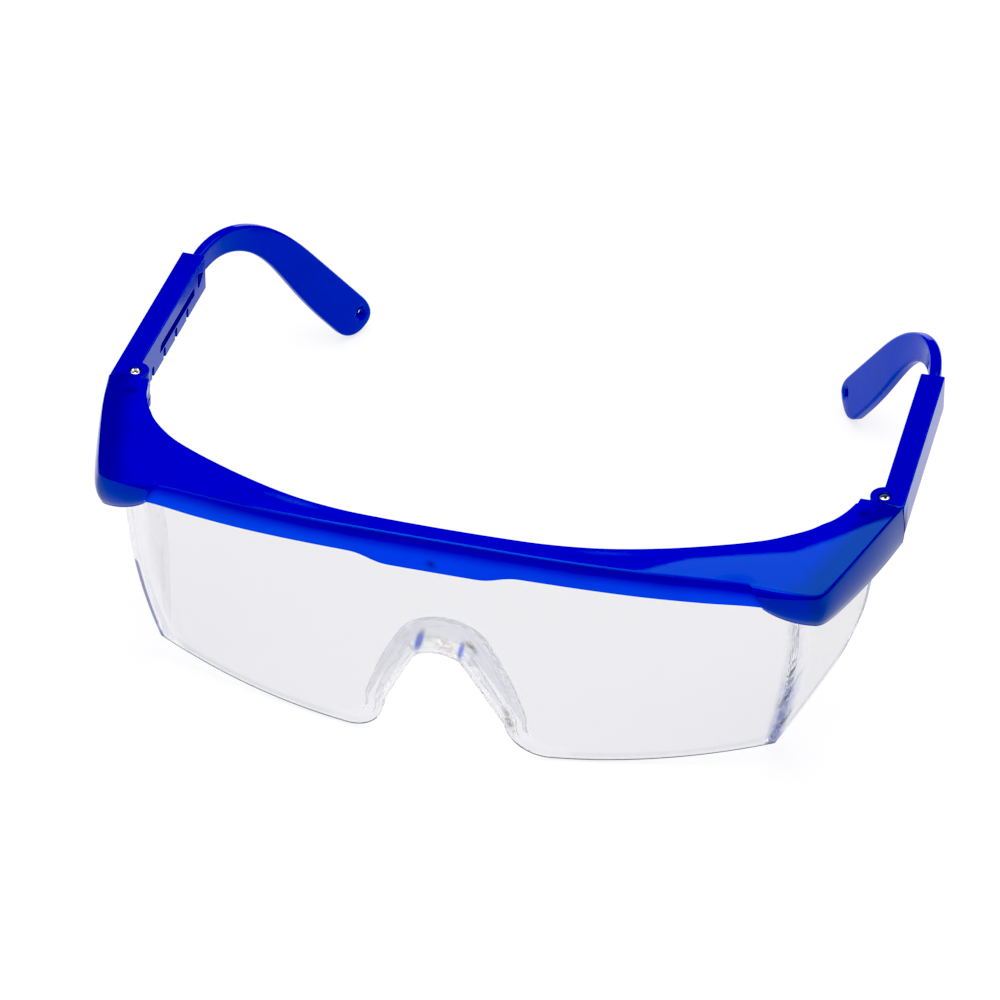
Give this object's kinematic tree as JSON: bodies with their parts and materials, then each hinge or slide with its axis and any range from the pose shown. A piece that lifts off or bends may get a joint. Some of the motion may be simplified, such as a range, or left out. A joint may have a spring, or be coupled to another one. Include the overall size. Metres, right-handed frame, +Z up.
{
  "type": "safety spectacles",
  "caption": "Safety spectacles with a clear one-piece wrap lens, a blue brow bar, folding temples and ear hooks that slide in and out to fit the wearer.",
  "frame": {"origin": "middle of the footprint, at the height of the lens's lowest edge", "axes": "+X towards the wearer's left, +Y from the front of the lens towards the ears, +Z up"},
  "size_m": [0.1592, 0.1291, 0.0574],
  "materials": {
    "frame_blue": "glossy moulded nylon, deep cobalt blue",
    "lens_clear": "clear polished polycarbonate",
    "screw_steel": "plated steel, satin"
  },
  "bodies": {
    "frame": {"brow_frame": "frame_blue", "lens": "lens_clear", "hinge_screw_left": "screw_steel", "hinge_screw_right": "screw_steel"},
    "temple_left": {"temple_sleeve_left": "frame_blue"},
    "temple_right": {"temple_sleeve_right": "frame_blue"},
    "hook_left": {"ear_hook_left": "frame_blue"},
    "hook_right": {"ear_hook_right": "frame_blue"}
  },
  "joints": [
    {"name": "fold_left", "type": "hinge", "parent": "frame", "child": "temple_left", "pos_m": [0.0747, -0.0122, 0.0399], "axis": [0, 0, 1], "range_deg": [0, 90]},
    {"name": "fold_right", "type": "hinge", "parent": "frame", "child": "temple_right", "pos_m": [-0.0747, -0.0122, 0.0399], "axis": [0, 0, -1], "range_deg": [0, 80]},
    {"name": "extend_left", "type": "slide", "parent": "temple_left", "child": "hook_left", "axis": [-0.0349, 0.9994, 0], "range_m": [0, 0.0201]},
    {"name": "extend_right", "type": "slide", "parent": "temple_right", "child": "hook_right", "axis": [0.0349, 0.9994, 0], "range_m": [0, 0.0201]}
  ]
}
